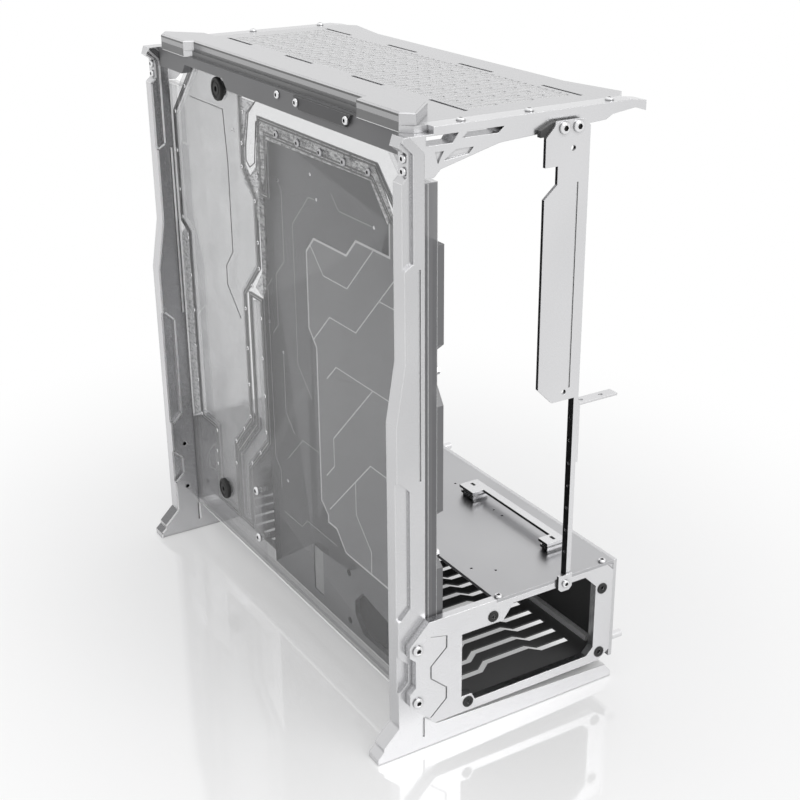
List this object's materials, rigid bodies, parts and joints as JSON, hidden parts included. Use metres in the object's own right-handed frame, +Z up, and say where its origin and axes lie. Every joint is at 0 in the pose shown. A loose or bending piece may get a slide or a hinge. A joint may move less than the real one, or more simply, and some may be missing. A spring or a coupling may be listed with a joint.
{
  "type": "computer case",
  "caption": "Open-frame computer case with two machined uprights, a clear coolant plate, a slotted roof, a motherboard tray and a power supply bay with an ATX opening.",
  "frame": {"origin": "centre of the case's footprint on the floor", "axes": "+Z up, +X from the coolant plate towards the roof's free edge, -Y the rear end with the power supply opening"},
  "size_m": [0.2471, 0.4893, 0.525],
  "materials": {
    "silver_aluminium": "satin bead-blasted",
    "dark_anodised": "satin anodised",
    "clear_acrylic": "polished clear",
    "soft_seal": "matt",
    "black_rubber": "matt",
    "black_paint": "satin",
    "steel": "polished"
  },
  "bodies": {
    "root": {"bay_cover": "silver_aluminium", "bay_floor": "black_paint", "bay_ledge": "silver_aluminium", "bay_wall": "silver_aluminium", "board_standoffs": "steel", "bracket_screws": "steel", "bracket_spacer": "black_paint", "bridge_screws": "steel", "bridge_seal": "soft_seal", "card_support": "silver_aluminium", "channel_seals": "soft_seal", "coolant_base": "clear_acrylic", "coolant_cover": "clear_acrylic", "coolant_plate_screws": "steel", "cover_screws": "steel", "duct_seal": "soft_seal", "expansion_bracket": "silver_aluminium", "front_arm": "silver_aluminium", "front_arm_screws": "steel", "front_column_screws": "steel", "front_end_plate": "silver_aluminium", "front_plate_screws": "steel", "front_upright": "silver_aluminium", "lower_port_plug": "black_rubber", "lug_screw": "steel", "motherboard_tray": "dark_anodised", "name_plate": "dark_anodised", "rail_screws": "steel", "rear_arm": "silver_aluminium", "rear_arm_screws": "steel", "rear_column_screws": "steel", "rear_end_plate": "silver_aluminium", "rear_panel_pin": "steel", "rear_plate_screws": "steel", "rear_upright": "silver_aluminium", "riser_mount": "silver_aluminium", "roof_lip": "silver_aluminium", "roof_panel": "silver_aluminium", "side_panel_pin": "steel", "top_rail": "dark_anodised", "upper_port_plug": "black_rubber"}
  },
  "joints": []
}
